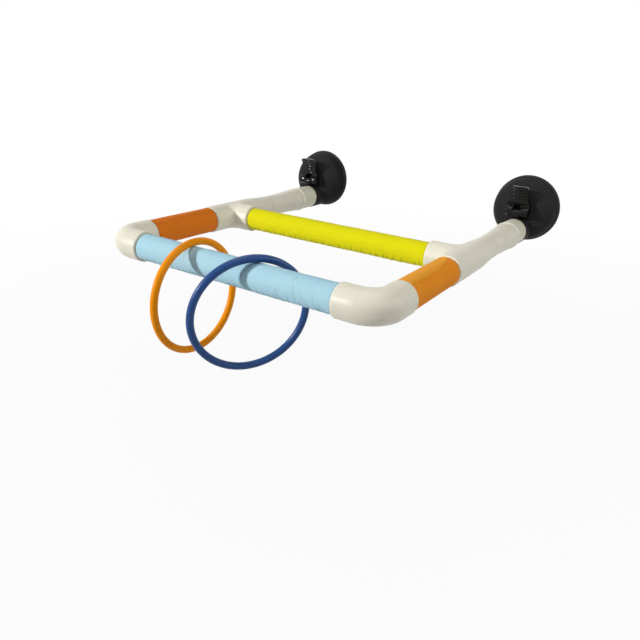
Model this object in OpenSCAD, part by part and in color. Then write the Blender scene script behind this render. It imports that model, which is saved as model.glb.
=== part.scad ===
// Window bird perch: a U of pipe and fittings wrapped in grip tape, a crossbar,
// two lever-lock suction cups on the arm ends, and two toy rings on the front bar.
// Millimetres. +X runs along the front bar, +Y points into the window, +Z is up.
// The origin lies on the glass, midway between the axes of the two suction cups.

/* [Frame] */
// Distance between the axes of the two arms
arm_spacing = 248; // [220:2:400]
// Distance from the glass to the axis of the front bar
front_reach = 303; // [280:1:420]
// Distance from the glass to the axis of the crossbar
cross_reach = 167; // [140:1:180]
// How far the arms lie below the axes of the cups
cup_drop = 18; // [17:0.5:19]

/* [Pipe] */
// Outside diameter of the pipe
pipe_od = 20; // [16:0.5:21]
// Wall of the pipe
pipe_wall = 2; // [1.2:0.1:3]

/* [Fittings] */
// Outside diameter of the elbows, tees and couplings
fitting_od = 25; // [24:0.5:27]
// Depth of the sockets that hold the pipe ends
socket_depth = 12; // [8:0.5:14]
// Distance from the corner of an elbow to each of its faces
elbow_leg = 30; // [30:0.5:40]
// Bend radius of an elbow's centre line
elbow_bend = 17; // [14:0.5:18]
// Distance from the centre of a tee to its face towards the front bar
tee_run = 33; // [27:0.5:40]
// Distance from the centre of a tee to the end of its tapered collar
tee_collar = 54; // [50:0.5:60]
// Length of the taper at the end of that collar
tee_taper = 30; // [20:0.5:32]
// Distance from the centre of a tee to the face of its branch
tee_branch = 28.5; // [25:0.5:36]
// Radius that blends the branch of a tee into its run
tee_fillet = 2.5; // [1:0.5:4]
// Bevel round the mouths of the fittings
mouth_bevel = 0.6; // [0.2:0.1:1]

/* [Grip tape] */
// Thickness of the tape on the front bar
front_tape = 1; // [0.5:0.1:2]
// Thickness of the tape on the crossbar
cross_tape = 0.6; // [0.5:0.1:2]
// Thickness of the tape on the side bars
side_tape = 1.9; // [0.5:0.1:2.2]

/* [Arm ends] */
// Share of a coupling's length over which it tapers from its rim towards the tee
coupling_taper = 0.78; // [0.6:0.02:0.9]
// Depth of the sloped band round the rim of a coupling
coupling_bevel = 0.9; // [0.4:0.1:1.2]
// Outside diameter of an end plug
plug_od = 24.5; // [22:0.5:25]
// Length of an end plug between the coupling and the cup
plug_length = 24; // [18:0.5:28]
// Depth of the socket that holds the plug's spigot
spigot_depth = 7; // [5:0.5:9]
// Thickness of the end wall of a plug
plug_wall = 3.5; // [2.5:0.5:5]
// Diameter of the mounting screw
screw_d = 4; // [3:0.5:5]
// Length of the mounting screw under its head
screw_length = 12; // [10:0.5:14]

/* [Suction cup] */
// Diameter of the rubber cup at the glass
cup_d = 65; // [64:0.5:74]
// Width of the flat sealing lip
lip_width = 3; // [2:0.5:5]
// Depth of the suction hollow at its centre
hollow_depth = 2.8; // [1.5:0.1:3]
// Diameter of the housing at its rim
housing_d = 63; // [62.5:0.5:65]
// Wall of the housing
housing_wall = 2.4; // [1.6:0.1:3]
// Distance from the glass to the edge of the housing's rim
rim_height = 3; // [2.5:0.1:3.5]
// Height of the straight band at the housing's rim
rim_band = 3.2; // [2:0.1:4]
// Height of the housing's dome above the rim band
dome_height = 18.8; // [18:0.2:19.2]
// Diameter of the flat crown of the dome
crown_d = 22; // [16:0.5:26]
// Distance from the glass to the face that the end plug meets
socket_face = 33; // [31:0.5:36]
// Diameter of the round boss that the end plug meets
boss_d = 25.4; // [25:0.2:26]

/* [Lock] */
// Distance from the glass to the lever's pivot when locked
pivot_height = 33; // [32.8:0.1:34]
// How far the stem moves towards the glass when the lever opens
stem_travel = 3; // [1:0.1:3]
// Radius of the lever's cam lobes
cam_r = 5; // [4.5:0.1:5]
// Diameter of the pivot pin
pin_d = 3; // [2:0.1:3.6]
// Length of the pivot pin
pin_length = 19; // [16:0.5:21]
// Thickness of the stem across the fork
stem_t = 7.2; // [5:0.1:7.6]
// Width of the stem along the fork
stem_w = 8; // [6:0.1:8.4]
// Diameter of the stem's foot inside the rubber
foot_d = 18; // [14:0.5:20]
// Thickness of the stem's foot
foot_t = 2.4; // [1.5:0.1:2.8]
// Width of the fork over both ears
fork_width = 21.6; // [20:0.2:24]
// Height of the fork's slot above the pivot
slot_height = 8.6; // [7:0.2:9.5]
// Height of the lever's shoulders above the pivot
shoulder_height = 10; // [9.6:0.2:12]
// Width of the lever's shoulders
shoulder_width = 20; // [18:0.5:21]
// Width of the grip
grip_width = 17.5; // [12:0.5:18]
// Height of the grip's tip above the pivot
grip_height = 26; // [24:0.5:28]
// Thickness of the grip
grip_t = 3.4; // [2.4:0.1:4]
// Radius of the hollow front of the grip
grip_scoop = 28; // [24:0.5:40]
// Number of finger ribs on the grip
rib_count = 4; // [2:1:4]
// Distance between finger ribs
rib_pitch = 3.1; // [2.2:0.1:3.2]

/* [Toy rings] */
// Outside diameter of the orange ring
orange_d = 93; // [70:0.5:100]
// Outside diameter of the blue ring
blue_d = 95; // [70:0.5:100]
// Thickness of a ring's round section
ring_t = 5.8; // [4:0.1:8]
// Where the orange ring hangs along the front bar
orange_x = -38.5; // [-60:0.5:-30]
// Turn of the orange ring about the vertical
orange_yaw = -2; // [-10:1:10]
// Where the blue ring hangs along the front bar
blue_x = 26.5; // [18:0.5:50]
// Turn of the blue ring about the vertical
blue_yaw = 29; // [-30:1:30]
// How far the blue ring leans out of the vertical
blue_lean = 12; // [-14:1:14]
// How far the blue ring has swung round the bar
blue_swing = 11; // [-20:1:20]

/* [Fits] */
// Gap round a pipe in its socket and under the tape
slip_gap = 0.1; // [0.05:0.01:0.15]
// Gap between tape and fittings, and at the ends of glued pipes
end_gap = 0.3; // [0.1:0.05:0.6]
// Running gap round the pivot pin
pin_gap = 0.06; // [0.03:0.01:0.1]
// Gap round the sliding stem and beside it in the fork
slide_gap = 0.4; // [0.3:0.05:0.6]
// Gap under the cam lobes and under the hanging rings
rest_gap = 0.3; // [0.2:0.05:0.5]

/* [Hidden] */
$fn = 96;

left = -1;
right = 1;
cut = 1; // how far a cutting shape reaches past the face that it cuts

pipe_r = pipe_od / 2;
pipe_bore_r = pipe_r - pipe_wall;
fitting_r = fitting_od / 2;
socket_r = pipe_r + slip_gap;
tee_bend = fitting_r + tee_fillet;
blend_inset = 0.12;                              // the blend lies this far inside both legs

side_front = front_reach - elbow_leg;            // elbow face, measured from the glass
side_back = cross_reach + tee_run;               // tee face towards the front bar
arm_stop = cross_reach - tee_run + socket_depth; // the arm pipe's stop in the tee
bar_half = arm_spacing / 2 - elbow_leg;          // half of the front bar between elbows
cross_half = arm_spacing / 2 - tee_branch;       // half of the crossbar between tees

coupling_back = socket_face + plug_length;       // the coupling's rim that faces the cup
coupling_front = cross_reach - tee_collar - end_gap;
coupling_length = coupling_front - coupling_back;
coupling_band = 2.4;                             // length of the sloped band at the rim
coupling_stop = coupling_back + spigot_depth;    // the stop between its two sockets
stop_t = 1.5;                                    // thickness of that stop
collar_wall = 0.6;                               // wall of a tapered collar at its mouth
collar_mouth_r = socket_r + collar_wall;
taper_steps = 12;                                // steps in the outline of a taper
taper_power = 1.5;                               // how early a taper levels out
spigot_r = pipe_r;
spigot_wall = 1.8;
plug_bore_r = spigot_r - spigot_wall;

screw_r = screw_d / 2;
screw_head_r = screw_d * 0.95;
screw_head_t = screw_d * 0.65;
screw_top_r = screw_head_r * 0.7;
recess_width = 0.8;                              // cross recess in the screw's head
recess_depth = screw_head_t * 0.55;
screw_relief = 1;                                // free depth beyond the screw's tip

cup_r = cup_d / 2;
hollow_r = cup_r - lip_width;
hollow_sphere = (pow(hollow_r, 2) + pow(hollow_depth, 2)) / (2 * hollow_depth);
housing_r = housing_d / 2;
rim_step = 0.7;                                  // the dome starts this far inside the rim
rim_bevel = 0.6;
dome_base = rim_height + rim_band;
dome_r = housing_r - rim_step;
crown_r = crown_d / 2;
crown_height = dome_base + dome_height;

cam_offset = stem_travel / 2;                    // along and across: the lobe's centre, off the pivot
pad_height = pivot_height - cam_r - cam_offset - rest_gap;
pad_margin = 1.5;                                // the pad reaches this far beyond the fork
pad_half = fork_width / 2 + pad_margin;
pad_inset = 0.4;
pad_low = -cam_r + pad_inset;
pad_high = shoulder_height - 1;
pad_corner = 2;
pad_root = 5;                                    // the pad starts this deep inside the dome
slot_half = stem_t / 2 + slide_gap;
stem_head_r = stem_w / 2;
foot_base = 8;                                   // glass to the foot's underside when locked
hub_wall = 3.4;
hub_roof = 3;                                    // rubber over the foot's pocket
hub_edge = 1;
hub_r = foot_d / 2 + hub_wall;
hub_height = foot_base + foot_t + slide_gap + hub_roof;
lip_edge = 0.9;                                  // thickness of the lip at its outer edge
web_width = 5;                                   // sloped web between the lip and the hub
web_rise = 1;
boss_r = boss_d / 2;

grip_face = -0.9;                                // deepest line of the grip's hollow, off the pivot
grip_corner = 3;
scoop_base = shoulder_height - 1;                // height of that line above the pivot
cheek_drop = 2;                                  // the cheeks end this far below the shoulders
rib_r = 0.9;
rib_sink = 0.2;                                  // a rib's centre lies this deep in the grip
rib_tip = 2.6;                                   // the first rib's distance from the grip's tip
rib_margin = 1.2;
rib_length = grip_width - 2 * rib_margin;
rib_steps = 12;
bead_r = 1;                                      // bead across the lever, above the fork's slot
bead_lift = 0.2;
bead_length = grip_width - rib_margin;

ring_tube_r = ring_t / 2;
front_wrap_r = pipe_r + front_tape;
ring_seat = front_wrap_r + rest_gap + ring_tube_r; // height of a ring's top above the bar's axis

fitting_white = [0.90, 0.88, 0.82];
plug_white = [0.84, 0.83, 0.76];
tape_blue = [0.62, 0.80, 0.92];
tape_yellow = [0.90, 0.88, 0.05];
tape_orange = [0.88, 0.50, 0.12];
ring_orange_colour = [0.98, 0.55, 0.10];
ring_blue_colour = [0.10, 0.20, 0.48];
cup_black = [0.12, 0.12, 0.13];
rubber_black = [0.08, 0.08, 0.09];
steel = [0.66, 0.67, 0.70];

// Places a shape whose z is the distance from the glass, x across and y up.
module at_cup(side) {
  translate([side * arm_spacing / 2, 0, 0]) rotate([90, 0, 0]) children();
}

// As at_cup, but on the axis of the arm.
module at_arm(side) {
  at_cup(side) translate([0, -cup_drop, 0]) children();
}

// Places a fitting drawn with its legs along +X and +Y on a corner of the frame.
module at_corner(side, reach) {
  translate([side * arm_spacing / 2, -reach, -cup_drop])
    mirror([side == right ? 1 : 0, 0, 0]) children();
}

// A shape drawn along z, laid along X at the front or cross bar.
module along_bar(reach) {
  translate([0, -reach, -cup_drop]) rotate([0, 90, 0]) children();
}

module tube(outer_r, inner_r, low, high) {
  translate([0, 0, low]) difference() {
    cylinder(r = outer_r, h = high - low);
    translate([0, 0, -cut]) cylinder(r = inner_r, h = high - low + 2 * cut);
  }
}

// A solid leg of a fitting, from the corner to its bevelled face.
module leg(reach) {
  rotate_extrude() polygon([
    [0, 0], [fitting_r, 0], [fitting_r, reach - mouth_bevel], [fitting_r - mouth_bevel, reach], [0, reach]
  ]);
}

module leg_bore(reach) {
  cylinder(r = pipe_bore_r, h = reach);
  translate([0, 0, reach - socket_depth]) cylinder(r = socket_r, h = socket_depth + cut);
}

// The outline of a taper from a fitting's full width, which levels out at a thin mouth.
function taper_line(low, high) = [for (i = [0:taper_steps]) [
  collar_mouth_r + (fitting_r - collar_mouth_r) * pow(1 - i / taper_steps, taper_power),
  low + (high - low) * i / taper_steps
]];

// The tee's end towards the window: a solid leg that tapers to the coupling's mouth.
module collar() {
  rotate_extrude() polygon(concat(
    [[0, 0], [fitting_r, 0]],
    taper_line(tee_collar - tee_taper, tee_collar),
    [[0, tee_collar]]
  ));
}

module collar_bore() {
  cylinder(r = pipe_bore_r, h = tee_run);
  translate([0, 0, tee_run - socket_depth]) cylinder(r = socket_r, h = tee_collar);
}

module along_x() { rotate([0, 90, 0]) children(); }
module along_y() { rotate([-90, 0, 0]) children(); }

// A quarter of a torus that joins the X leg to the Y leg.
module bend(bend_r, r) {
  translate([bend_r, bend_r, 0]) rotate([0, 0, 180])
    rotate_extrude(angle = 90) translate([bend_r, 0]) circle(r = r);
}

module elbow(side) {
  color(fitting_white) at_corner(side, front_reach) difference() {
    union() {
      bend(elbow_bend, fitting_r);
      translate([elbow_bend, 0, 0]) along_x() leg(elbow_leg - elbow_bend);
      translate([0, elbow_bend, 0]) along_y() leg(elbow_leg - elbow_bend);
    }
    bend(elbow_bend, pipe_bore_r);
    translate([elbow_bend, 0, 0]) along_x() leg_bore(elbow_leg - elbow_bend);
    translate([0, elbow_bend, 0]) along_y() leg_bore(elbow_leg - elbow_bend);
  }
}

module tee(side) {
  color(fitting_white) at_corner(side, cross_reach) difference() {
    union() {
      bend(tee_bend, fitting_r - blend_inset);
      mirror([0, 1, 0]) bend(tee_bend, fitting_r - blend_inset);
      along_x() leg(tee_branch);
      mirror([0, 1, 0]) along_y() leg(tee_run);
      along_y() collar();
    }
    along_x() leg_bore(tee_branch);
    mirror([0, 1, 0]) along_y() leg_bore(tee_run);
    along_y() collar_bore();
  }
}

// A bar pipe reaches into the sockets at both of its ends.
module bar_pipe(reach, half) {
  pipe_half = half + socket_depth - end_gap;
  color(fitting_white) along_bar(reach) tube(pipe_r, pipe_bore_r, -pipe_half, pipe_half);
}

module side_pipe(side) {
  color(fitting_white) at_arm(side)
    tube(pipe_r, pipe_bore_r, side_back - socket_depth + end_gap, side_front + socket_depth - end_gap);
}

module arm_pipe(side) {
  color(fitting_white) at_arm(side)
    tube(pipe_r, pipe_bore_r, coupling_stop + stop_t + end_gap, arm_stop - end_gap);
}

module bar_wrap(reach, half, thickness, tape_colour) {
  color(tape_colour) along_bar(reach)
    tube(pipe_r + thickness, pipe_r + slip_gap, -half + end_gap, half - end_gap);
}

module side_wrap(side) {
  color(tape_orange) at_arm(side)
    tube(pipe_r + side_tape, pipe_r + slip_gap, side_back + end_gap, side_front - end_gap);
}

// A long socket over the arm pipe that widens from the tee's mouth to a rim at the cup.
module coupling(side) {
  taper_base = coupling_back + coupling_band;
  color(fitting_white) at_arm(side) difference() {
    rotate_extrude() polygon(concat(
      [[0, coupling_back], [fitting_r - coupling_bevel, coupling_back]],
      taper_line(taper_base, taper_base + coupling_taper * (coupling_front - taper_base)),
      [[collar_mouth_r, coupling_front], [0, coupling_front]]
    ));
    translate([0, 0, coupling_back - cut]) cylinder(r = pipe_bore_r, h = coupling_length);
    translate([0, 0, coupling_back - cut]) cylinder(r = socket_r, h = spigot_depth + cut);
    translate([0, 0, coupling_stop + stop_t]) cylinder(r = socket_r, h = coupling_length);
  }
}

// A hollow plug: its spigot sits in the coupling and its end wall meets the cup's boss.
module end_plug(side) {
  spigot_end = coupling_back + spigot_depth - end_gap;
  color(plug_white) at_arm(side) difference() {
    rotate_extrude() polygon([
      [0, socket_face], [plug_od / 2 - mouth_bevel, socket_face],
      [plug_od / 2, socket_face + mouth_bevel], [plug_od / 2, coupling_back - mouth_bevel],
      [plug_od / 2 - mouth_bevel, coupling_back], [spigot_r, coupling_back],
      [spigot_r, spigot_end], [0, spigot_end]
    ]);
    translate([0, 0, socket_face + plug_wall]) cylinder(r = plug_bore_r, h = spigot_end);
    translate([0, 0, socket_face - cut]) cylinder(r = screw_r + slip_gap, h = plug_wall + 2 * cut);
  }
}

module mounting_screw(side) {
  color(steel) at_arm(side) translate([0, 0, socket_face + plug_wall]) {
    translate([0, 0, -screw_length]) cylinder(r = screw_r, h = screw_length);
    difference() {
      cylinder(r1 = screw_head_r, r2 = screw_top_r, h = screw_head_t);
      for (turn = [0, 90]) rotate([0, 0, turn])
        translate([-screw_head_r / 2, -recess_width / 2, screw_head_t - recess_depth])
          cube([screw_head_r, recess_width, screw_head_t]);
    }
  }
}

// The dome's half profile, drawn a wall's thickness further in for the inside.
function dome_line(inset) = [for (a = [0:6:90]) [
  crown_r + (dome_r - inset - crown_r) * cos(a),
  dome_base + (dome_height - inset) * sin(a)
]];

module housing_outside() {
  rotate_extrude() polygon(concat(
    [[0, rim_height], [housing_r, rim_height],
     [housing_r, dome_base - rim_bevel], [housing_r - rim_bevel, dome_base]],
    dome_line(0), [[0, crown_height]]
  ));
}

module housing_inside() {
  inner_r = dome_r - housing_wall;
  rotate_extrude() polygon(concat(
    [[0, rim_height - cut], [inner_r, rim_height - cut]],
    dome_line(housing_wall), [[0, crown_height - housing_wall]]
  ));
}

// The raised pad that the cam lobes press on, with rounded corners.
module cam_pad() {
  width = 2 * pad_half;
  height = pad_high - pad_low;
  translate([0, 0, crown_height - pad_root]) linear_extrude(pad_height - crown_height + pad_root) union() {
    translate([-pad_half + pad_corner, pad_low]) square([width - 2 * pad_corner, height]);
    translate([-pad_half, pad_low + pad_corner]) square([width, height - 2 * pad_corner]);
    for (x = [-1, 1], y = [pad_low + pad_corner, pad_high - pad_corner])
      translate([x * (pad_half - pad_corner), y]) circle(r = pad_corner);
  }
}

module stem_slot(low, high) {
  translate([-slot_half, -stem_w / 2 - slide_gap, low]) cube([2 * slot_half, stem_w + 2 * slide_gap, high - low]);
}

module cup_housing(side) {
  screw_reach = socket_face + plug_wall - screw_length - screw_relief;
  color(cup_black) at_cup(side) difference() {
    union() {
      difference() {
        union() {
          housing_outside();
          translate([0, -cup_drop, dome_base]) cylinder(r = boss_r, h = socket_face - dome_base);
        }
        housing_inside();
      }
      cam_pad();
    }
    stem_slot(dome_base, pad_height + cut);
    translate([0, -cup_drop, screw_reach]) cylinder(r = screw_r + slip_gap, h = socket_face);
  }
}

// Sealing lip and shallow hollow on the glass side, hub with a pocket for the stem's foot.
module rubber_cup(side) {
  seat_r = dome_r - housing_wall - slip_gap;
  color(rubber_black) at_cup(side) difference() {
    rotate_extrude() polygon([
      [0, 0], [cup_r, 0], [cup_r, lip_edge], [housing_r, rim_height], [seat_r, rim_height],
      [seat_r, dome_base], [seat_r - web_width, dome_base + web_rise], [hub_r, dome_base + 2 * web_rise],
      [hub_r, hub_height - hub_edge], [hub_r - hub_edge, hub_height], [0, hub_height]
    ]);
    translate([0, 0, hollow_depth - hollow_sphere]) sphere(r = hollow_sphere);
    translate([0, 0, foot_base - stem_travel - slide_gap])
      cylinder(r = foot_d / 2 + slide_gap, h = foot_t + stem_travel + 2 * slide_gap);
    stem_slot(foot_base, hub_height + cut);
  }
}

module cup_stem(side) {
  color(cup_black) at_cup(side) difference() {
    union() {
      translate([0, 0, foot_base]) cylinder(r = foot_d / 2, h = foot_t);
      translate([-stem_t / 2, -stem_w / 2, foot_base]) cube([stem_t, stem_w, pivot_height - foot_base]);
      translate([-stem_t / 2, 0, pivot_height]) along_x() cylinder(r = stem_head_r, h = stem_t);
    }
    translate([-stem_t, 0, pivot_height]) along_x() cylinder(r = pin_d / 2 + pin_gap, h = 2 * stem_t);
  }
}

module pivot_pin(side) {
  color(steel) at_cup(side) translate([-pin_length / 2, 0, pivot_height])
    along_x() cylinder(r = pin_d / 2, h = pin_length);
}

// Side view of the lever about its pivot: cam lobe, neck and hollow-fronted grip.
module lever_side() {
  translate([cam_offset, -cam_offset]) circle(r = cam_r);
  intersection() {
    translate([scoop_base, grip_face + grip_scoop]) difference() {
      circle(r = grip_scoop + grip_t);
      circle(r = grip_scoop);
    }
    translate([cam_offset, -cam_r - cam_offset]) square([grip_height - cam_offset, 2 * cam_r + grip_t]);
  }
}

// Front view of the lever: fork, shoulders and narrower grip with round corners.
module lever_front() {
  half = grip_width / 2;
  translate([-fork_width / 2, -2 * cam_r]) square([fork_width, 2 * cam_r + shoulder_height - cheek_drop]);
  translate([-shoulder_width / 2, -cam_r]) square([shoulder_width, cam_r + shoulder_height]);
  translate([-half, 0]) square([grip_width, grip_height - grip_corner]);
  translate([-half + grip_corner, 0]) square([grip_width - 2 * grip_corner, grip_height + cut]);
  for (x = [-1, 1]) translate([x * (half - grip_corner), grip_height - grip_corner]) circle(r = grip_corner);
}

// Where the grip's hollow front lies at a height above the pivot.
function front_face(u) = grip_face + grip_scoop - sqrt(pow(grip_scoop, 2) - pow(u - scoop_base, 2));

// A finger rib, thickest in its middle and pointed at its ends.
module rib() {
  along_x() rotate_extrude() polygon([for (i = [0:rib_steps])
    let(share = 2 * i / rib_steps - 1) [rib_r * (1 - pow(share, 2)), share * rib_length / 2]
  ]);
}

module finger_ribs() {
  for (i = [0:rib_count - 1]) {
    u = grip_height - rib_tip - i * rib_pitch;
    translate([0, u, front_face(u) - rib_sink]) rib();
  }
}

module bead() {
  u = shoulder_height + bead_lift;
  translate([-bead_length / 2, u, front_face(u) - rib_sink]) along_x() cylinder(r = bead_r, h = bead_length);
}

module lock_lever(side) {
  color(cup_black) at_cup(side) translate([0, 0, pivot_height]) difference() {
    union() {
      intersection() {
        rotate([90, 0, 90]) translate([0, 0, -fork_width / 2]) linear_extrude(fork_width) lever_side();
        translate([0, 0, -fork_width]) linear_extrude(2 * fork_width) lever_front();
      }
      finger_ribs();
      bead();
    }
    translate([-slot_half, -2 * cam_r, -2 * cam_r]) cube([2 * slot_half, 2 * cam_r + slot_height, 4 * cam_r]);
    translate([-fork_width, 0, 0]) along_x() cylinder(r = pin_d / 2 + slip_gap / 2, h = 2 * fork_width);
  }
}

// A ring hangs on the tape of the front bar. It stays on the tape when it leans or swings.
module toy_ring(ring_d, x, yaw, lean, swing, ring_colour) {
  ring_r = ring_d / 2 - ring_tube_r;
  color(ring_colour) translate([x, -front_reach, -cup_drop]) rotate([-swing, 0, 0])
    translate([0, 0, ring_seat]) rotate([0, 0, -yaw]) rotate([0, lean, 0])
      translate([0, 0, -ring_r]) rotate([0, 90, 0])
        rotate_extrude() translate([ring_r, 0]) circle(r = ring_tube_r);
}

elbow(left);  // elbow_left
elbow(right);  // elbow_right
tee(left);  // tee_left
tee(right);  // tee_right
bar_pipe(front_reach, bar_half);  // front_pipe
bar_pipe(cross_reach, cross_half);  // cross_pipe
side_pipe(left);  // side_pipe_left
side_pipe(right);  // side_pipe_right
arm_pipe(left);  // arm_pipe_left
arm_pipe(right);  // arm_pipe_right
bar_wrap(front_reach, bar_half, front_tape, tape_blue);  // front_wrap
bar_wrap(cross_reach, cross_half, cross_tape, tape_yellow);  // cross_wrap
side_wrap(left);  // side_wrap_left
side_wrap(right);  // side_wrap_right
coupling(left);  // coupling_left
coupling(right);  // coupling_right
end_plug(left);  // end_plug_left
end_plug(right);  // end_plug_right
mounting_screw(left);  // mounting_screw_left
mounting_screw(right);  // mounting_screw_right
cup_housing(left);  // cup_housing_left
cup_housing(right);  // cup_housing_right
rubber_cup(left);  // rubber_cup_left
rubber_cup(right);  // rubber_cup_right
cup_stem(left);  // cup_stem_left
cup_stem(right);  // cup_stem_right
pivot_pin(left);  // pivot_pin_left
pivot_pin(right);  // pivot_pin_right
lock_lever(left);  // lock_lever_left
lock_lever(right);  // lock_lever_right
toy_ring(orange_d, orange_x, orange_yaw, 0, 0, ring_orange_colour);  // ring_orange
toy_ring(blue_d, blue_x, blue_yaw, blue_lean, blue_swing, ring_blue_colour);  // ring_blue
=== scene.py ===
"""Looks of the window bird perch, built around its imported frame.

Lengths are in metres, in the frame's own axes: +X along the front bar, +Y into
the window glass and +Z up, with the origin on the glass between the two cups.
"""
import math

import bpy
from mathutils import Matrix, Vector, noise


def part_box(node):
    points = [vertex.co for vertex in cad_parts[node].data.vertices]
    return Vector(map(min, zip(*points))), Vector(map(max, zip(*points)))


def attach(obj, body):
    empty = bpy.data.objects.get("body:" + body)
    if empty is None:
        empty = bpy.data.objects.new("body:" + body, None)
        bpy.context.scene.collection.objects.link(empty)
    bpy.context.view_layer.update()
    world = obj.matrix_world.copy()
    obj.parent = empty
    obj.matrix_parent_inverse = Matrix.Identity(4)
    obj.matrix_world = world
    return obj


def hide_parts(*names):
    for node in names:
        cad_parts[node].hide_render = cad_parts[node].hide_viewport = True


MM = 0.001
UP = Vector((0, 0, 1))

# Camera of the photograph
LENS_MM = 32.314
SENSOR_MM = 36
CAMERA_AZIMUTH = 33.646
CAMERA_ELEVATION = 22.978
CAMERA_ROLL = 2.242
CAMERA_DISTANCE = 0.34178
CAMERA_TARGET = Vector((0.103016, -0.338442, -0.018))

# Studio. The floor shows white near the object, but for a share that keeps its shadow,
# and wholly white beyond the second of the two distances in FLOOR_FADE.
FLOOR_Z = -0.24
FLOOR_SIZE = 12
FLOOR_COLOUR = (0.64, 0.64, 0.64)
FLOOR_WHITENESS = 0.93
FLOOR_FADE = (0.3, 1.1)
WORLD_LIGHT = 0.03
LIGHT_TARGET = Vector((0.03, -0.22, -0.02))

# Lamps: name, azimuth, elevation, distance, diameter and power
LAMPS = (
    ("key", -38, 19, 2.4, 0.21, 41.0),
    ("right", 105, 25, 1.1, 0.55, 2.5),
    ("right_front", 75, 30, 1.1, 0.55, 1.55),
    ("front", 30, 45, 1.8, 1.0, 2.0),
    ("top", 0, 88, 1.8, 1.2, 9.3),
)

# Plastic: sizes of its colour drift, its smears and its moulded grain, and how much its gloss varies
DRIFT_SIZE = 22 * MM
SMEAR_SIZE = 7 * MM
GRAIN_SIZE = 0.5 * MM
GLOSS_SPREAD = 0.06
FITTING_WHITE = (0.826, 0.79, 0.645)
FITTING_ROUGHNESS = 0.42
# Darker, greener white of the end plugs: the fittings' white with painted shade
SHADED_PLUG_WHITE = (0.745, 0.725, 0.57)
# Paler white of the couplings' lips: a painted highlight
LIP_HIGHLIGHT_WHITE = (0.93, 0.90, 0.77)
HOUSING_BLACK = (0.026, 0.026, 0.026)
LEVER_BLACK = (0.006, 0.006, 0.006)
RUBBER_BLACK = (0.017, 0.020, 0.020)
STEEL = (0.62, 0.63, 0.66)
RING_ORANGE = (1.0, 0.325, 0.002)
RING_BLUE = (0.011, 0.066, 0.24)
RING_ROUGHNESS = 0.35
RING_GRAIN = 0.001 * MM

# Sizes of the rubber's dust and grain, and of the steel's brushing
DUST_SIZE = 5 * MM
RUBBER_GRAIN_SIZE = 0.8 * MM
BRUSHING_SIZE = 0.4 * MM

# Toy rings: node, colour and strength of gloss
RINGS = (
    ("ring_orange", RING_ORANGE, 0.12),
    ("ring_blue", RING_BLUE, 0.3),
)

# Painted bands across a part: width, and brightness next to the rest of the part. The lips are
# painted highlights, and the band beside a coupling's rim and the band on a cup's housing are
# painted shade. The place of the band beside the rim is counted from the coupling's rim, and that
# of the band on the housing from the glass.
FITTING_LIP_HIGHLIGHT = (1.5 * MM, 1.2)
FAINT_LIP_HIGHLIGHT = (1.2 * MM, 1.1)
RIM_SHADE = (1.6 * MM, 0.86)
RIM_SHADE_PLACE = 2.6 * MM
HOUSING_SHADE = (6 * MM, 0.62)
HOUSING_SHADE_PLACE = 8.5 * MM

# Widths of the round that moulded edges get
LEVER_ROUND = 0.25 * MM
HOUSING_ROUND = 0.3 * MM
SHARP_ANGLE = math.radians(35)

# Lip round the rim of a coupling: millimetres past the rim towards the cup, and radius
LIP_PROFILE = (
    (-1.7, 12.0), (-1.5, 12.42), (-1.0, 12.6), (-0.1, 12.95), (0.3, 13.02),
    (0.7, 12.96), (1.0, 12.75), (1.15, 12.4), (1.2, 11.9),
)

# Bandage colours: stretched, in its deeper patches, and on the loose last strip. On the right orange
# bandage the last strip, along the top of its bar, is a paler colour that is a painted highlight.
BLUE_TAPE = ((0.47, 0.75, 0.87), (0.43, 0.70, 0.83), (0.47, 0.75, 0.87))
YELLOW_TAPE = ((0.84, 0.79, 0.003), (0.79, 0.74, 0.002), (0.84, 0.79, 0.003))
ORANGE_TAPE = ((0.98, 0.335, 0.019), (0.93, 0.30, 0.014), (1.0, 0.415, 0.034))
# The left orange bandage: a darker, redder copy of the orange one, as painted shade
SHADED_ORANGE_TAPE = ((0.86, 0.225, 0.015), (0.80, 0.200, 0.011), (0.86, 0.225, 0.015))

# Bandage weave
THREAD_PITCH = 1.1 * MM
CRIMP_PITCH = 0.85 * MM
FUZZ_SIZE = 0.45 * MM
PATCH_SIZE = 14 * MM
WANDER_SIZE = 3.5 * MM
WEAVE_DEPTH = 0.09 * MM
# How dark the painted shade in folds and where the bandage goes into a fitting makes its colour
CREASE_SHADE = 0.62

# Gaps that keep the wound sheet clear of the pipe, of itself, and under its outer turn
PIPE_GAP = 0.1 * MM
SHEET_GAP = 0.05 * MM
OUTER_GAP = 0.16 * MM

# Mesh of the wound sheet: steps in a shown turn and in a hidden one, and the step along the bar
TURN_STEPS = 96
HIDDEN_STEPS = 24
ALONG_STEP = 0.55 * MM

# Wrinkles of the outer turn: size along the bar, waviness round it, a number that sets them apart
# from each other, and height
WRINKLES = (
    (17 * MM, 0.9, 0, 0.26 * MM),
    (3.2 * MM, 0.6, 7, 0.09 * MM),
    (5 * MM, 2.2, 11, 0.10 * MM),
)
SEAM_WRINKLE = (3.4 * MM, 1.3, 3, 0.4 * MM)
SEAM_WRINKLE_REACH = math.radians(32)

# Pleats at a seam: how far they leave an even spacing, how far they slant, how many degrees they
# run and by how much that varies, how much their depth varies, and their width
PLEAT_SCATTER = 0.45
PLEAT_SLANT = 3.0 * MM
PLEAT_REACH = 24
PLEAT_REACH_SPREAD = 22
PLEAT_DEPTH_SPREAD = 0.8
PLEAT_WIDTH = 0.7 * MM

# Any fold: its depth where it starts, the degrees over which its ends fade out, and how many
# widths beside the groove its ridge lies
FOLD_START = 0.3
FOLD_FADE = 5.0
RIDGE_PLACE = 1.5

# The outer turn, which shows, with the part of a turn over which it rises off the one below
SHOWN_TURNS = 1.15
RISE_TURNS = 0.15

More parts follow.
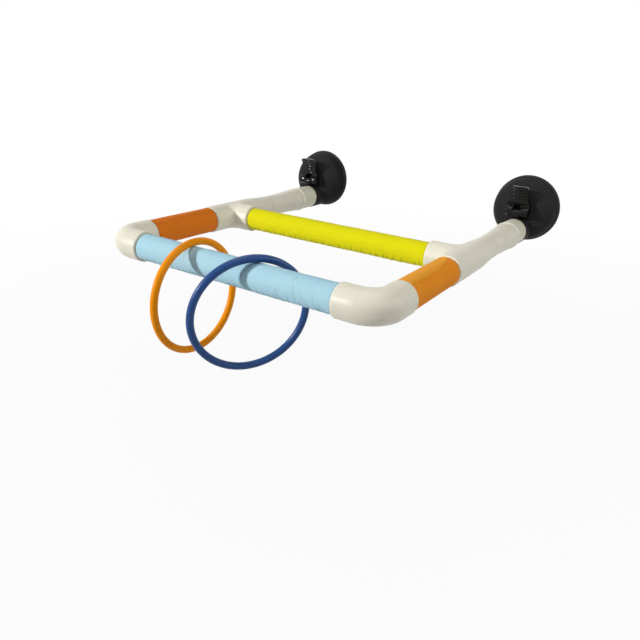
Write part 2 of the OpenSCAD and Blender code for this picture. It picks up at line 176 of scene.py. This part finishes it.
# The sheet's last edge: how far before it the sheet thins, and how far the edge is loose and ragged
FEATHER = math.radians(25)
FLAP = math.radians(70)
EDGE_THINNING = 0.7
RAGGED_EDGE = 0.7 * MM
RAGGED_STEP = 4 * MM

# Where the bandage goes into a fitting it rolls inwards, and lies in shadow, which is painted into
# its colour. Folds get painted shade too, in full from the depth FULL_SHADOW_DEPTH.
END_ROLL = 1.1 * MM
END_SINK = 0.5 * MM
END_SHADOW = 0.9
END_SHADOW_WIDTH = 0.8 * MM
FULL_SHADOW_DEPTH = 0.6 * MM

# Axis and outer side of the bars along the glass, and of those that run towards it
ALONG_GLASS = ((1, 0, 0), (0, -1, 0))
TOWARDS_GLASS = ((0, 1, 0), (1, 0, 0))

# Place of the blue bandage's seam, in degrees from the top of the bar towards its outer side
BLUE_SEAM = 141

# Creases in the blue bandage, in millimetres and degrees: each runs from one place along and round
# the bar to another, and has a width and a depth. Its groove is painted darker, as painted shade.
BLUE_CREASES = (
    (60.9, 39, 63.0, 30, 0.6, 0.7),
    (62.6, 44, 65.9, 118, 0.5, 0.30),
    (69.0, 70, 72.5, 110, 0.7, 0.20),
    (80.0, 60, 80.4, 116, 0.8, 0.18),
    (42.0, 98, 43.6, BLUE_SEAM, 0.7, 0.35),
    (49.6, 94, 51.4, BLUE_SEAM, 0.7, 0.40),
    (58.4, 104, 59.4, BLUE_SEAM, 0.7, 0.35),
    (80.6, 100, 83.6, BLUE_SEAM, 0.8, 0.45),
    (84.9, 104, 86.4, BLUE_SEAM, 0.7, 0.35),
    (-37.0, 100, -36.0, BLUE_SEAM, 0.6, 0.40),
    (-33.4, 96, -32.2, BLUE_SEAM, 0.6, 0.45),
    (-30.8, 100, -29.2, BLUE_SEAM, 0.7, 0.50),
    (4.0, 112, 5.0, BLUE_SEAM, 0.6, 0.40),
    (7.6, 104, 9.4, BLUE_SEAM, 0.6, 0.45),
    (11.4, 108, 12.0, BLUE_SEAM, 0.6, 0.40),
)


def direction(azimuth, elevation):
    """Unit vector from the object to a viewer or lamp, at angles in degrees.

    Azimuth 0 is towards -Y, and azimuth 90 towards +X.
    """
    turn = math.radians(azimuth)
    rise = math.radians(elevation)
    return Vector((
        math.sin(turn) * math.cos(rise),
        -math.cos(turn) * math.cos(rise),
        math.sin(rise),
    ))


def add_camera():
    """The camera that the photograph was taken with, which is rolled a little."""
    back = direction(CAMERA_AZIMUTH, CAMERA_ELEVATION)
    level = (-back).cross(UP).normalized()
    upright = level.cross(-back)
    roll = math.radians(CAMERA_ROLL)
    right = level * math.cos(roll) + upright * math.sin(roll)
    up = upright * math.cos(roll) - level * math.sin(roll)
    data = bpy.data.cameras.new("photo_camera")
    data.lens = LENS_MM
    data.sensor_width = SENSOR_MM
    data.clip_start = 0.01
    camera = bpy.data.objects.new("photo_camera", data)
    place = Matrix((right, up, back)).transposed().to_4x4()
    place.translation = CAMERA_TARGET + back * CAMERA_DISTANCE
    camera.matrix_world = place
    bpy.context.scene.collection.objects.link(camera)
    bpy.context.scene.camera = camera


def add_lamp(name, azimuth, elevation, distance, size, power):
    """A round area lamp that shines on the object from these angles."""
    data = bpy.data.lights.new(name, "AREA")
    data.shape = "DISK"
    data.size = size
    data.energy = power
    lamp = bpy.data.objects.new(name, data)
    away = direction(azimuth, elevation)
    lamp.location = LIGHT_TARGET + away * distance
    lamp.rotation_mode = "QUATERNION"
    lamp.rotation_quaternion = away.to_track_quat("Z", "Y")
    bpy.context.scene.collection.objects.link(lamp)


class Look:
    """A node tree, with short calls that add and join its nodes."""

    def __init__(self, tree):
        self.tree = tree
        self.tree.nodes.clear()

    def add(self, kind, inputs=None, **settings):
        """Adds a node. A value in inputs is either a number or colour, or another node's output."""
        node = self.tree.nodes.new(kind)
        for name, value in settings.items():
            setattr(node, name, value)
        for name, value in (inputs or {}).items():
            socket = node.inputs[name]
            if isinstance(value, bpy.types.NodeSocket):
                self.tree.links.new(value, socket)
            else:
                socket.default_value = value
        return node

    def noise(self, place, size, detail=2, stretch=None):
        """Noise with features of about this size, wider along an axis where stretch says so."""
        if stretch:
            place = self.add(
                "ShaderNodeVectorMath", {0: place, 1: stretch}, operation="MULTIPLY"
            ).outputs[0]
        return self.add("ShaderNodeTexNoise", {
            "Vector": place, "Scale": 1 / size, "Detail": detail, "Roughness": 0.55,
        }).outputs["Fac"]

    def spread(self, value, low, high, start=0.3, end=0.7):
        """Maps a noise value's usual range to low..high."""
        return self.add("ShaderNodeMapRange", {
            "Value": value, "From Min": start, "From Max": end, "To Min": low, "To Max": high,
        }).outputs["Result"]

    def math(self, operation, first, second=0.0):
        """One step of arithmetic on values from nodes or plain numbers."""
        return self.add("ShaderNodeMath", {0: first, 1: second}, operation=operation).outputs[0]

    def shade(self, colour, amount):
        """The colour, plain or from a node, times a grey amount."""
        mix = self.add("ShaderNodeVectorMath", operation="SCALE")
        if isinstance(colour, bpy.types.NodeSocket):
            self.tree.links.new(colour, mix.inputs[0])
        else:
            mix.inputs[0].default_value = colour
        self.tree.links.new(amount, mix.inputs["Scale"])
        return mix.outputs[0]

    def mix_colours(self, factor, first, second):
        """The first colour where the factor is 0 and the second where it is 1."""
        mix = self.add("ShaderNodeMix", data_type="RGBA")
        self.tree.links.new(factor, mix.inputs[0])
        for socket, value in ((mix.inputs[6], first), (mix.inputs[7], second)):
            if isinstance(value, bpy.types.NodeSocket):
                self.tree.links.new(value, socket)
            else:
                socket.default_value = (*value, 1)
        return mix.outputs[2]

    def bump(self, height, distance):
        """The surface's normal, as if it stood out by height times distance."""
        return self.add("ShaderNodeBump", {
            "Height": height, "Distance": distance, "Strength": 1.0,
        }).outputs["Normal"]

    def seen(self):
        """1 for rays that show the surface itself: from the camera, in gloss and through glass."""
        path = self.add("ShaderNodeLightPath")
        direct = self.math("MAXIMUM", path.outputs["Is Camera Ray"], path.outputs["Is Glossy Ray"])
        return self.math("MAXIMUM", direct, path.outputs["Is Transmission Ray"])


def new_look(name):
    """A new material, and the look that builds its nodes."""
    material = bpy.data.materials.new(name)
    material.use_nodes = True
    return material, Look(material.node_tree)


def finish_look(look, shader):
    """Joins the shader to the material's output."""
    look.add("ShaderNodeOutputMaterial", {"Surface": shader.outputs[0]})


def add_world():
    """White all round where it is seen, with very little light of its own."""
    world = bpy.data.worlds.new("studio")
    world.use_nodes = True
    bpy.context.scene.world = world
    look = Look(world.node_tree)
    strength = look.spread(look.seen(), WORLD_LIGHT, 1.0, 0.0, 1.0)
    background = look.add("ShaderNodeBackground", {"Color": (1, 1, 1, 1), "Strength": strength})
    look.add("ShaderNodeOutputWorld", {"Surface": background.outputs[0]})


def add_floor():
    """A pale floor that shows as white, but for a share that keeps the object's shadow."""
    half = FLOOR_SIZE / 2
    mesh = bpy.data.meshes.new("floor")
    corners = [(x * half, y * half, FLOOR_Z) for x, y in ((-1, -1), (1, -1), (1, 1), (-1, 1))]
    mesh.from_pydata(corners, [], [(0, 1, 2, 3)])
    floor = bpy.data.objects.new("floor", mesh)
    bpy.context.scene.collection.objects.link(floor)
    material, look = new_look("floor_white")
    matte = look.add("ShaderNodeBsdfDiffuse", {"Color": (*FLOOR_COLOUR, 1)})
    white = look.add("ShaderNodeEmission", {"Color": (1, 1, 1, 1), "Strength": 1.0})
    place = look.add("ShaderNodeTexCoord").outputs["Object"]
    away = look.add("ShaderNodeVectorMath", {0: place}, operation="LENGTH").outputs["Value"]
    whiteness = look.spread(away, FLOOR_WHITENESS, 1.0, *FLOOR_FADE)
    share = look.math("MULTIPLY", look.seen(), whiteness)
    mix = look.add("ShaderNodeMixShader", {0: share, 1: matte.outputs[0], 2: white.outputs[0]})
    finish_look(look, mix)
    mesh.materials.append(material)


def plastic(name, colour, roughness, mottle=0.03, grain=0.02 * MM, specular=0.5, bands=()):
    """Moulded plastic: slight colour drift, uneven gloss and a fine moulded grain.

    A band (axis, place, width, gain) paints the part lighter or darker across it, as a painted
    highlight on a lip or as painted shade.
    """
    material, look = new_look(name)
    place = look.add("ShaderNodeTexCoord").outputs["Object"]
    drift = look.noise(place, DRIFT_SIZE, 3)
    smear = look.noise(place, SMEAR_SIZE, 4)
    fine = look.noise(place, GRAIN_SIZE)
    tint = look.shade(colour, look.spread(drift, 1 - mottle, 1 + mottle))
    parts = look.add("ShaderNodeSeparateXYZ", {0: place})
    for axis, position, width, gain in bands:
        away = look.math("ABSOLUTE", look.math("SUBTRACT", parts.outputs[axis], position))
        tint = look.shade(tint, look.spread(away, gain, 1.0, 0.4 * width, width))
    shader = look.add("ShaderNodeBsdfPrincipled", {
        "Base Color": tint,
        "Roughness": look.spread(smear, roughness - GLOSS_SPREAD, roughness + GLOSS_SPREAD),
        "Specular IOR Level": specular,
        "Normal": look.bump(fine, grain),
    })
    finish_look(look, shader)
    return material


def rubber(name, colour):
    """Soft black rubber, with dust that dulls it in places."""
    material, look = new_look(name)
    place = look.add("ShaderNodeTexCoord").outputs["Object"]
    dust = look.noise(place, DUST_SIZE, 5)
    tint = look.shade(colour, look.spread(dust, 0.8, 1.3))
    shader = look.add("ShaderNodeBsdfPrincipled", {
        "Base Color": tint,
        "Roughness": look.spread(dust, 0.38, 0.52),
        "Specular IOR Level": 0.12,
        "Normal": look.bump(look.noise(place, RUBBER_GRAIN_SIZE), 0.01 * MM),
    })
    finish_look(look, shader)
    return material


def plated_steel(name):
    """Drawn and plated steel, brushed along X."""
    material, look = new_look(name)
    place = look.add("ShaderNodeTexCoord").outputs["Object"]
    brushed = look.noise(place, BRUSHING_SIZE, 3, stretch=(0.1, 1, 1))
    shader = look.add("ShaderNodeBsdfPrincipled", {
        "Base Color": look.shade(STEEL, look.spread(brushed, 0.92, 1.05)),
        "Metallic": 1.0,
        "Roughness": look.spread(brushed, 0.25, 0.4),
        "Normal": look.bump(brushed, 0.01 * MM),
    })
    finish_look(look, shader)
    return material


def bandage(name, colour, deep, loose):
    """Cohesive bandage: crimped gauze with threads along and across, on the wrap's own map.

    The colours are of the stretched bandage, of its deeper patches and of the loose last strip; a
    paler last strip is a painted highlight.
    """
    material, look = new_look(name)
    wrap = look.add("ShaderNodeUVMap", uv_map="wrap").outputs[0]
    parts = look.add("ShaderNodeSeparateXYZ", {0: wrap})
    wander = look.noise(wrap, WANDER_SIZE, 3)
    along = look.math("ADD", parts.outputs["X"], look.math("MULTIPLY", wander, 0.9 * MM))
    around = look.math("ADD", parts.outputs["Y"], look.math("MULTIPLY", wander, 0.5 * MM))
    threads = look.math("SINE", look.math("MULTIPLY", around, 2 * math.pi / THREAD_PITCH))
    crimps = look.math("SINE", look.math("MULTIPLY", along, 2 * math.pi / CRIMP_PITCH))
    gauze = look.math("ADD", threads, crimps)
    fuzz = look.noise(wrap, FUZZ_SIZE, 3)
    patches = look.noise(wrap, PATCH_SIZE, 4, stretch=(1, 0.45, 1))
    height = look.math("ADD", look.math("MULTIPLY", gauze, 0.22), fuzz)
    base = look.mix_colours(look.spread(patches, 0.0, 1.0, 0.28, 0.72), deep, colour)
    # Painted highlight: the last strip can take a paler colour.
    last = look.add("ShaderNodeAttribute", attribute_name="last_strip_highlight").outputs["Fac"]
    base = look.mix_colours(last, base, loose)
    # The gauze is painted darker in its low parts and a little lighter on its raised threads, as
    # painted shade.
    tint = look.shade(base, look.spread(height, 0.93, 1.04, 0.0, 1.0))
    # Painted shade in the folds' grooves and where the bandage goes into a fitting
    painted_shade = look.add("ShaderNodeAttribute", attribute_name="painted_shade").outputs["Fac"]
    tint = look.shade(tint, look.spread(painted_shade, 1.0, CREASE_SHADE, 0.0, 1.0))
    shader = look.add("ShaderNodeBsdfPrincipled", {
        "Base Color": tint,
        "Roughness": look.spread(fuzz, 0.72, 0.9),
        "Specular IOR Level": 0.12,
        "Sheen Weight": 0.04,
        "Sheen Roughness": 0.5,
        "Normal": look.bump(height, WEAVE_DEPTH),
    })
    finish_look(look, shader)
    return material


class Bar:
    """Where a wrapped bar lies: its middle, its axis, and its outer side."""

    def __init__(self, node, pipe_node, axis, side):
        low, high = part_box(node)
        pipe_low, pipe_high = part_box(pipe_node)
        self.middle = (low + high) / 2
        self.axis = Vector(axis)
        self.side = Vector(side)
        self.length = abs((high - low).dot(self.axis))
        self.outer = (high.z - low.z) / 2
        self.inner = (pipe_high.z - pipe_low.z) / 2 + PIPE_GAP

    def point(self, along, angle, radius):
        """A point on the bar. The angle runs from the top towards the outer side."""
        around = UP * math.cos(angle) + self.side * math.sin(angle)
        return self.middle + self.axis * along + around * radius


def bell(value, width):
    """1 at zero, and falling off smoothly over this width."""
    return math.exp(-(value / width) ** 2)


def fold(along, angle, start, end, width):
    """How much of a groove, and of the low ridge beside it, is at a place.

    The groove runs from one point (along, degrees) to another.
    """
    span = end[1] - start[1]
    share = (math.degrees(angle) - start[1]) / span
    inside = min(max(share, 0.0), 1.0)
    off = along - start[0] - (end[0] - start[0]) * inside
    if abs(off) > 4 * width:
        return 0.0, 0.0
    fade = bell((share - inside) * span, FOLD_FADE) * (FOLD_START + (1 - FOLD_START) * inside)
    return fade * bell(off, width), fade * bell(off + RIDGE_PLACE * width, width)


def seam_pleats(bar, seam, spacing, depth, seed):
    """Short slanted folds that end at the seam, where the bandage's edge is drawn tight."""
    count = int(bar.length / spacing)
    folds = []
    for i in range(count):
        place = Vector((i * 1.7, seed, 0.4))
        scatter, slant, reach, deeper = (
            noise.noise(place + Vector((0, 0, offset))) for offset in (0, 5, 9, 13)
        )
        along = bar.length * ((i + 0.5) / count - 0.5) + spacing * PLEAT_SCATTER * scatter
        start = (along + PLEAT_SLANT * slant, seam - (PLEAT_REACH + PLEAT_REACH_SPREAD * reach))
        folds.append((start, (along, seam), PLEAT_WIDTH, depth * (1 + PLEAT_DEPTH_SPREAD * deeper)))
    return folds


def wrinkle(along, angle, seed, kind):
    """The height of one kind of wrinkle at a place."""
    size, waviness, number, height = kind
    return height * noise.noise(Vector((along / size, angle * waviness, seed + number)))


def wrinkles(along, angle, seam, seed):
    """How far the bandage's outer turn stands out or dips at a place."""
    near = bell(math.remainder(angle - seam, 2 * math.pi), SEAM_WRINKLE_REACH)
    gathered = near * max(wrinkle(along, angle, seed, SEAM_WRINKLE), 0.0)
    return gathered + sum(wrinkle(along, angle, seed, kind) for kind in WRINKLES)


def turn_places(turns):
    """How many turns have been wound at each column of the sheet: few columns where it is hidden."""
    hidden = max(0.0, turns - SHOWN_TURNS)
    coarse = max(1, round(hidden * HIDDEN_STEPS))
    fine = round((turns - hidden) * TURN_STEPS)
    places = [hidden * i / coarse for i in range(coarse)] if hidden else []
    return places + [hidden + (turns - hidden) * i / fine for i in range(fine + 1)]


def wound_columns(bar, seam, turns, thickness):
    """The sheet's columns: angle, radius, share of the outer turn, and length wound so far."""
    columns = []
    wound = 0.0
    before = 0.0
    for turn in turn_places(turns):
        angle = math.radians(seam) - 2 * math.pi * (turns - turn)
        outermost = min(max(turn - (turns - SHOWN_TURNS), 0.0) / RISE_TURNS, 1.0)
        radius = bar.inner + turn * (thickness + SHEET_GAP) + outermost * OUTER_GAP
        wound += 2 * math.pi * (turn - before) * (radius + thickness / 2)
        before = turn
        columns.append((angle, radius, outermost, wound))
    return columns


def strip_faces(rows, across):
    """The faces of a closed strip, each row of which has pairs of an inner and an outer point."""
    width = 2 * (across + 1)
    faces = []
    for i in range(rows):
        for j in range(across):
            a = i * width + 2 * j
            b = a + 2
            faces.append((a + 1, b + 1, b + 1 + width, a + 1 + width))
            faces.append((a, a + width, b + width, b))
        first = i * width
        last = first + 2 * across
        faces.append((first, first + 1, first + 1 + width, first + width))
        faces.append((last, last + width, last + 1 + width, last + 1))
    for j in range(across):
        a = 2 * j
        b = rows * width + a
        faces.append((a, a + 2, a + 3, a + 1))
        faces.append((b, b + 1, b + 3, b + 2))
    return faces


def smooth_piece(name, vertices, faces, material):
    """A new piece with one material, shaded smooth."""
    mesh = bpy.data.meshes.new(name)
    mesh.from_pydata(vertices, [], faces)
    mesh.polygons.foreach_set("use_smooth", [True] * len(mesh.polygons))
    mesh.materials.append(material)
    piece = bpy.data.objects.new(name, mesh)
    bpy.context.scene.collection.objects.link(piece)
    return piece


def wound_sheet(name, bar, seam, turns, material, seed, strength=1.0, folds=(), sweep=0.0):
    """A sheet of bandage wound round a bar from its pipe outwards, as one closed strip.

    The strip starts and ends at the seam's angle, so its last edge lies there over the turn below.
    That edge is a little ragged, and runs off by sweep towards the bar's far end.
    """
    layers = math.ceil(turns)
    room = bar.outer - bar.inner - OUTER_GAP - (layers - 1) * SHEET_GAP
    thickness = room / layers
    columns = wound_columns(bar, seam, turns, thickness)
    sheet_length = columns[-1][-1]
    rows = round(bar.length / ALONG_STEP)
    vertices = []
    coordinates = []
    shadows = []
    strips = []
    for i in range(rows + 1):
        along = bar.length * (i / rows - 0.5)
        from_end = bar.length / 2 - abs(along)
        sunk = max(0.0, 1 - from_end / END_ROLL) ** 2 * END_SINK
        end_shadow = END_SHADOW * bell(from_end, END_SHADOW_WIDTH)
        ragged = RAGGED_EDGE * noise.noise(Vector((along / RAGGED_STEP, seed, 1.7)))
        ragged += sweep * max(0.0, 2 * along / bar.length) ** 2
        for angle, radius, outermost, wound in columns:
            before_edge = (sheet_length - wound) / bar.outer
            close = outermost * max(0.0, 1 - before_edge / FEATHER)
            loose = outermost * max(0.0, 1 - before_edge / FLAP)
            turned = angle + loose * ragged / bar.outer
            rise = 0.0
            shadow = end_shadow
            if outermost > 0:
                rise = outermost * strength * wrinkles(along, turned, math.radians(seam), seed)
                facing = math.remainder(turned, 2 * math.pi)
                for start, end, width, depth in folds:
                    groove, ridge = fold(along, facing, start, end, width)
                    rise += outermost * depth * (0.5 * ridge - groove)
                    # The fold's groove gets painted shade, the darker the deeper the fold.
                    shadow = max(shadow, groove * min(depth / FULL_SHADOW_DEPTH, 1.0))
            if radius < bar.outer - thickness:
                rise = max(rise, -OUTER_GAP)
            lift = radius + rise - outermost * sunk
            edge = thickness * (1 - EDGE_THINNING * close ** 2)
            vertices.append(bar.point(along, turned, lift))
            vertices.append(bar.point(along, turned, lift + edge))
            coordinates += [(along, wound)] * 2
            shadows += [shadow] * 2
            strips += [min(max(2 - before_edge / FLAP, 0.0), 1.0)] * 2
    piece = smooth_piece(name, vertices, strip_faces(rows, len(columns) - 1), material)
    layer = piece.data.uv_layers.new(name="wrap")
    for loop in piece.data.loops:
        layer.data[loop.index].uv = coordinates[loop.vertex_index]
    for layer_name, values in (("painted_shade", shadows), ("last_strip_highlight", strips)):
        attribute = piece.data.attributes.new(layer_name, "FLOAT", "POINT")
        attribute.data.foreach_set("value", values)
    return piece, (sheet_length, bar.length)


def add_wrap(
    name, node, pipe_node, lie, material, seam, turns, seed, pleat_spacing, pleat_depth,
    strength=1.0, sweep=0.0, creases=(),
):
    """One winding, which stands for a CAD sleeve."""
    bar = Bar(node, pipe_node, *lie)
    folds = [*creases, *seam_pleats(bar, seam, pleat_spacing, pleat_depth, seed)]
    piece, flat = wound_sheet(name, bar, seam, turns, material, seed, strength, folds, sweep)
    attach(piece, "frame")
    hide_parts(node)


def add_wraps():
    """The four windings, each with short folds where its last edge is drawn tight."""
    creases = [
        ((start * MM, start_angle), (end * MM, end_angle), width * MM, depth * MM)
        for start, start_angle, end, end_angle, width, depth in BLUE_CREASES
    ]
    blue = bandage("bandage_blue", *BLUE_TAPE)
    add_wrap(
        "blue_wrap", "front_wrap", "front_pipe", ALONG_GLASS, blue, seam=BLUE_SEAM,
        turns=2.1, seed=1.0, pleat_spacing=7 * MM, pleat_depth=0.34 * MM, creases=creases,
    )
    yellow = bandage("bandage_yellow", *YELLOW_TAPE)
    add_wrap(
        "yellow_wrap", "cross_wrap", "cross_pipe", ALONG_GLASS, yellow, seam=138,
        turns=1.08, seed=12.0, pleat_spacing=6 * MM, pleat_depth=0.5 * MM,
    )
    sides = (
        # The left orange bandage is painted darker, as painted shade.
        ("left", bandage("bandage_orange_shaded", *SHADED_ORANGE_TAPE), 23.0, 150, 0.26 * MM, 0.0),
        # The right orange bandage's paler last strip is a painted highlight.
        ("right", bandage("bandage_orange", *ORANGE_TAPE), 31.0, 29, 0.10 * MM, -5.8 * MM),
    )
    for side, material, seed, seam, depth, sweep in sides:
        add_wrap(
            "orange_wrap_" + side, "side_wrap_" + side, "side_pipe_" + side, TOWARDS_GLASS,
            material, seam=seam, turns=3.1, seed=seed, pleat_spacing=8 * MM,
            pleat_depth=depth, strength=0.7, sweep=sweep,
        )


def paint(material, *nodes):
    """Gives carried-over CAD nodes their material."""
    for name in nodes:
        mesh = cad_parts[name].data
        mesh.materials.clear()
        mesh.materials.append(material)


def pair(name):
    """The names of a left and a right part."""
    return name + "_left", name + "_right"


def round_edges(width, *nodes):
    """Gives the sharp edges of CAD nodes the small round of moulded parts."""
    for name in nodes:
        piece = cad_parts[name]
        weld = piece.modifiers.new("weld", "WELD")
        weld.merge_threshold = 0.002 * MM
        bevel = piece.modifiers.new("round", "BEVEL")
        bevel.width = width
        bevel.segments = 3
        bevel.limit_method = "ANGLE"
        bevel.angle_limit = SHARP_ANGLE
        piece.data.polygons.foreach_set("use_smooth", [True] * len(piece.data.polygons))


def paint_fittings():
    """The white fittings, with painted highlights on the lips where they show, a band of painted
    shade beside each coupling's rim, and end plugs in a white with painted shade.
    """
    white = plastic("fitting_white", FITTING_WHITE, FITTING_ROUGHNESS)
    paint(white, "elbow_left", "tee_left", "front_pipe", "cross_pipe")
    paint(white, *pair("arm_pipe"), *pair("side_pipe"))
    # Paler bands on the mouths of the right elbow and tee are painted highlights.
    low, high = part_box("elbow_right")
    lip_highlights = (("X", low.x, *FITTING_LIP_HIGHLIGHT), ("Y", high.y, *FAINT_LIP_HIGHLIGHT))
    paint(plastic("elbow_lip_highlights", FITTING_WHITE, FITTING_ROUGHNESS, bands=lip_highlights), "elbow_right")
    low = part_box("tee_right")[0]
    lip_highlights = (("X", low.x, *FITTING_LIP_HIGHLIGHT), ("Y", low.y, *FITTING_LIP_HIGHLIGHT))
    paint(plastic("tee_lip_highlights", FITTING_WHITE, FITTING_ROUGHNESS, bands=lip_highlights), "tee_right")
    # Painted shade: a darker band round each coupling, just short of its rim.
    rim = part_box("coupling_right")[1].y
    groove = (("Y", rim - RIM_SHADE_PLACE, *RIM_SHADE),)
    rim_shaded = plastic("coupling_white", FITTING_WHITE, FITTING_ROUGHNESS, bands=groove)
    paint(rim_shaded, *pair("coupling"))
    # The end plugs are the fittings' plastic, painted darker as painted shade.
    paint(plastic("plug_white", SHADED_PLUG_WHITE, 0.45), *pair("end_plug"))


def add_lips():
    """The rolled lip that stands up a little round the rim of each coupling, in a paler white that
    is a painted highlight.
    """
    lip_highlight = plastic("lip_white_highlight", LIP_HIGHLIGHT_WHITE, FITTING_ROUGHNESS)
    profile = [(offset * MM, radius * MM) for offset, radius in LIP_PROFILE]
    count = len(profile)
    for name in pair("coupling"):
        low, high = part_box(name)
        middle = (low + high) / 2
        vertices = []
        for i in range(TURN_STEPS):
            angle = 2 * math.pi * i / TURN_STEPS
            for offset, radius in profile:
                x = middle.x + radius * math.sin(angle)
                z = middle.z + radius * math.cos(angle)
                vertices.append((x, high.y + offset, z))
        faces = []
        for i in range(TURN_STEPS):
            here = i * count
            there = (i + 1) % TURN_STEPS * count
            for j in range(count):
                k = (j + 1) % count
                faces.append((here + j, there + j, there + k, here + k))
        piece = smooth_piece(name + "_lip", vertices, faces, lip_highlight)
        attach(piece, "frame")


def paint_cups():
    """The suction cups: satin housings with a band of painted shade near the glass, glossy levers
    and stems, dull rubber, pins and screws.
    """
    # A darker band round each housing near the glass is painted shade.
    housing_shade = (("Y", -HOUSING_SHADE_PLACE, *HOUSING_SHADE),)
    satin = plastic("housing_black", HOUSING_BLACK, 0.5, mottle=0.1, specular=0.03, bands=housing_shade)
    paint(satin, *pair("cup_housing"))
    glossy = plastic("lever_black", LEVER_BLACK, 0.11, mottle=0.1, grain=0.005 * MM, specular=0.24)
    paint(glossy, *pair("lock_lever"), *pair("cup_stem"))
    round_edges(LEVER_ROUND, *pair("lock_lever"), *pair("cup_stem"))
    round_edges(HOUSING_ROUND, *pair("cup_housing"))
    paint(rubber("cup_rubber", RUBBER_BLACK), *pair("rubber_cup"))
    paint(plated_steel("plated_steel"), *pair("pivot_pin"), *pair("mounting_screw"))


def paint_rings():
    """The toy rings, of smooth glossy plastic."""
    for name, colour, specular in RINGS:
        paint(plastic(name, colour, RING_ROUGHNESS, grain=RING_GRAIN, specular=specular), name)


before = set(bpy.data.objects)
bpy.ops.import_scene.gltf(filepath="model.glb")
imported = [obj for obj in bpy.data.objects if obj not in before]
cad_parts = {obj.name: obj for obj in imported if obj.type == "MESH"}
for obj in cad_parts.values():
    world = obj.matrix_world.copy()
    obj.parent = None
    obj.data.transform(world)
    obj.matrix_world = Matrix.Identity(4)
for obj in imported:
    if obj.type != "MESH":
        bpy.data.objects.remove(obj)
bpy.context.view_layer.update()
bpy.context.scene.view_settings.view_transform = "Standard"
add_camera()
add_world()
add_floor()
for lamp_settings in LAMPS:
    add_lamp(*lamp_settings)
add_wraps()
add_lips()
paint_fittings()
paint_cups()
paint_rings()
